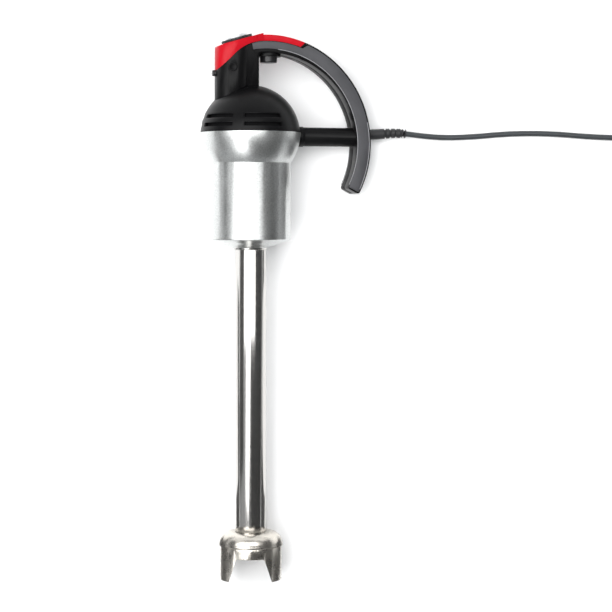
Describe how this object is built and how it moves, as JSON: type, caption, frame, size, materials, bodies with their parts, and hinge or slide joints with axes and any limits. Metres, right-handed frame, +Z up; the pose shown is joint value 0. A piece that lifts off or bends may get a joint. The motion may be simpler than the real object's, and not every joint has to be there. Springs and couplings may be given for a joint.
{
  "type": "immersion blender",
  "caption": "Commercial immersion blender with a ring handle, trigger, speed dial, long steel tube and a bell guard around the blade, lying down with its cord coiled.",
  "frame": {"origin": "centre of the object's footprint on the table, measured without the free cord, with the blender lying down", "axes": "+Y from the bell guard towards the handle's top, +X to the side that the handle loop reaches, +Z up"},
  "size_m": [0.6771, 0.7152, 0.1306],
  "materials": {
    "satin_aluminium": "satin anodised",
    "polished_steel": "polished stainless",
    "satin_steel": "satin stainless",
    "blade_steel": "ground stainless",
    "black_shell": "satin moulded nylon",
    "grey_inlay": "fine textured",
    "red_gloss": "semi-gloss moulded",
    "black_dial": "satin moulded",
    "silver_knob": "silver moulded",
    "black_button": "semi-gloss moulded",
    "boot_rubber": "matte",
    "cord_sheath": "matte",
    "plug_black": "matte",
    "plug_nickel": "nickel plated",
    "machined_steel": "turned",
    "zinc_screw": "zinc plated",
    "spring_steel": "drawn wire",
    "lamination_steel": "stacked sheet",
    "copper_winding": "enamelled copper",
    "bronze": "sintered",
    "inner_plastic": "moulded",
    "seal_rubber": "matte",
    "cast_plate": "die cast",
    "brush_brass": "stamped",
    "carbon": "pressed carbon",
    "board_green": "solder resist",
    "lead_sheath": "matte"
  },
  "bodies": {
    "housing": {"bell_dome": "satin_steel", "bell_skirt": "satin_steel", "blending_tube": "polished_steel", "board_screws": "zinc_screw", "brush_holders": "brush_brass", "brush_springs": "spring_steel", "brushes": "carbon", "control_board": "board_green", "cord_coil": "cord_sheath", "cord_tube": "cord_sheath", "dome_cover": "black_shell", "field_windings": "copper_winding", "foot_bearing_housing": "inner_plastic", "foot_bush": "bronze", "handle_screws": "zinc_screw", "handle_shell_front": "black_shell", "handle_shell_rear": "black_shell", "heat_sink": "cast_plate", "housing_screws": "zinc_screw", "internal_lead": "lead_sheath", "lock_bracket": "black_shell", "lock_spring": "spring_steel", "lower_bearing": "machined_steel", "lower_bearing_plate": "cast_plate", "motor_housing": "satin_aluminium", "plug_body": "plug_black", "plug_pins": "plug_nickel", "power_switch": "inner_plastic", "red_cap": "red_gloss", "screw_plug": "black_shell", "shaft_seal": "seal_rubber", "side_panel_front": "grey_inlay", "side_panel_rear": "grey_inlay", "speed_control": "inner_plastic", "stator_core": "lamination_steel", "strain_relief": "boot_rubber", "strut_collar": "black_shell", "suppressor": "inner_plastic", "trigger_collar": "black_shell", "trigger_spring": "spring_steel", "tube_bushes": "bronze", "tube_collar": "polished_steel", "tube_flange": "machined_steel", "upper_bearing": "machined_steel", "upper_bearing_plate": "cast_plate"},
    "rotor": {"blade": "blade_steel", "blade_nut": "blade_steel", "drive_shaft": "machined_steel", "drive_coupling_lower": "inner_plastic", "drive_coupling_upper": "inner_plastic", "motor_shaft": "machined_steel", "armature_core": "lamination_steel", "armature_winding": "copper_winding", "commutator": "copper_winding", "cooling_fan": "inner_plastic"},
    "trigger": {"trigger_button": "black_button"},
    "speed_dial": {"dial_skirt": "black_dial", "dial_knob": "silver_knob", "dial_shaft": "machined_steel"},
    "lock": {"lock_button": "black_button"}
  },
  "joints": [
    {"name": "rotor_spin", "type": "hinge", "parent": "housing", "child": "rotor", "pos_m": [-0.04621, 0.14616, 0.06184], "axis": [0, 0.9991, 0.0433], "continuous": true},
    {"name": "trigger_press", "type": "slide", "parent": "housing", "child": "trigger", "axis": [0, 0.9991, 0.0433], "range_m": [0, 0.004], "stiffness_N_per_m": 800, "springref_m": -0.004, "deforming": ["trigger_spring"]},
    {"name": "dial_turn", "type": "hinge", "parent": "housing", "child": "speed_dial", "pos_m": [-0.06308, 0.34553, 0.07583], "axis": [-0.2637, 0.9565, 0.1251], "range_deg": [0, 270]},
    {"name": "lock_press", "type": "slide", "parent": "housing", "child": "lock", "axis": [0.9534, 0.0131, -0.3015], "range_m": [0, 0.003], "stiffness_N_per_m": 500, "springref_m": -0.003, "deforming": ["lock_spring"]}
  ]
}
